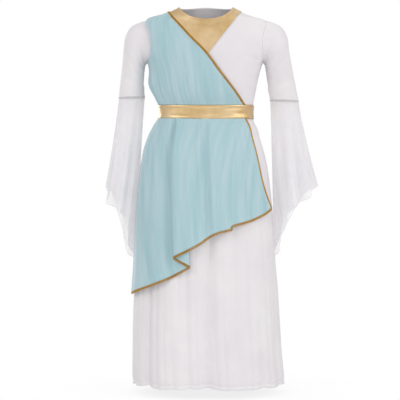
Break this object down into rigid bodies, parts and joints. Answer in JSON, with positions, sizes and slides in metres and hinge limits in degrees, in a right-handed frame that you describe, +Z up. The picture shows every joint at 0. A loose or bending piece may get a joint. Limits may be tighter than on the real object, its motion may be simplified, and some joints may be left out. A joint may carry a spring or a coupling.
{
  "type": "roman toga costume",
  "caption": "Child's floor-length toga dress, worn shape, with flared sleeves, gold yoke and waistband, and a braid-edged chiffon drape over one shoulder.",
  "frame": {"origin": "midway between the shoulder seams, where the wearer's shoulders hold the dress", "axes": "+Z up, -Y towards the viewer of the front, +X to the side of the plain white shoulder"},
  "size_m": [0.5342, 0.2643, 0.9459],
  "materials": {
    "jersey": "matt white stretch jersey",
    "sheer_white": "sheer white mesh",
    "gold_lame": "soft metallic gold",
    "aqua_chiffon": "crinkled pale aqua chiffon",
    "gold_braid": "twisted metallic braid",
    "button_shell": "glossy white",
    "thread": "white thread"
  },
  "bodies": {
    "root": {"bodice_front": "jersey", "bodice_back_left": "jersey", "bodice_back_right": "jersey", "sleeve_left": "jersey", "sleeve_right": "jersey", "skirt_front": "jersey", "skirt_back": "jersey", "bell_left": "sheer_white", "bell_right": "sheer_white", "neck_yoke": "gold_lame", "waistband_front": "gold_lame", "waistband_back": "gold_lame", "toga_bodice": "aqua_chiffon", "toga_skirt": "aqua_chiffon", "braid_bodice": "gold_braid", "braid_skirt": "gold_braid", "button": "button_shell", "button_loop": "thread"}
  },
  "joints": []
}
